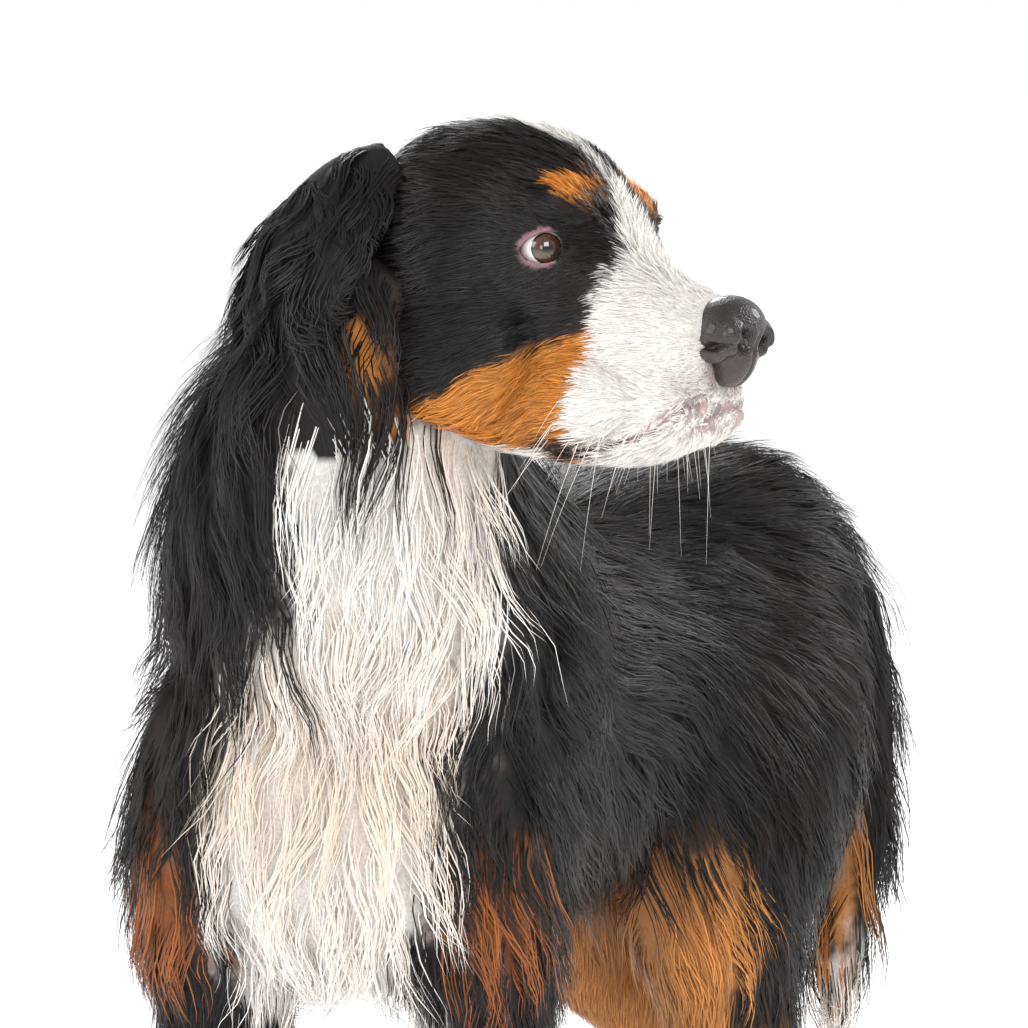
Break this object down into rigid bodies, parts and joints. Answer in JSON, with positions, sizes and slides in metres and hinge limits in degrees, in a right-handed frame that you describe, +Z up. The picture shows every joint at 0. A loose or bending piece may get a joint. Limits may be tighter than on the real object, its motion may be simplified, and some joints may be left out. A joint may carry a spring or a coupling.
{
  "type": "life-size bernese mountain dog model",
  "caption": "Standing long-coated bernese mountain dog with its head turned to its left, as a still life-size display model.",
  "frame": {"origin": "middle of the bounding box's underside, on the floor the paws stand on", "axes": "+Z up; the body faces -Y and its left side is +X; the head is turned to face about +X"},
  "size_m": [0.4928, 0.806, 0.8757],
  "materials": {
    "torso": "long black hair coat with a white chest",
    "neck": "long black hair coat with a white throat",
    "head": "short hair coat, black with a white blaze and tan cheeks",
    "lower_jaw": "short white hair with dark lip skin",
    "nose": "wet black nose leather",
    "tail": "long bushy black hair coat",
    "eye": "wet brown eye",
    "ear": "long wavy black hair coat",
    "foreleg": "hair coat, black, tan and white",
    "thigh": "long black hair coat with a tan inner side",
    "hindleg": "hair coat, tan and white",
    "forepaw": "short white hair coat with dark claws",
    "hindpaw": "short white hair coat with dark claws"
  },
  "bodies": {
    "root": {"torso": "torso", "neck": "neck", "head": "head", "lower_jaw": "lower_jaw", "nose": "nose", "tail": "tail", "eye_left": "eye", "eye_right": "eye", "ear_left": "ear", "ear_right": "ear", "foreleg_left": "foreleg", "foreleg_right": "foreleg", "forepaw_left": "forepaw", "forepaw_right": "forepaw", "thigh_left": "thigh", "thigh_right": "thigh", "hindleg_left": "hindleg", "hindleg_right": "hindleg", "hindpaw_left": "hindpaw", "hindpaw_right": "hindpaw"}
  },
  "joints": []
}
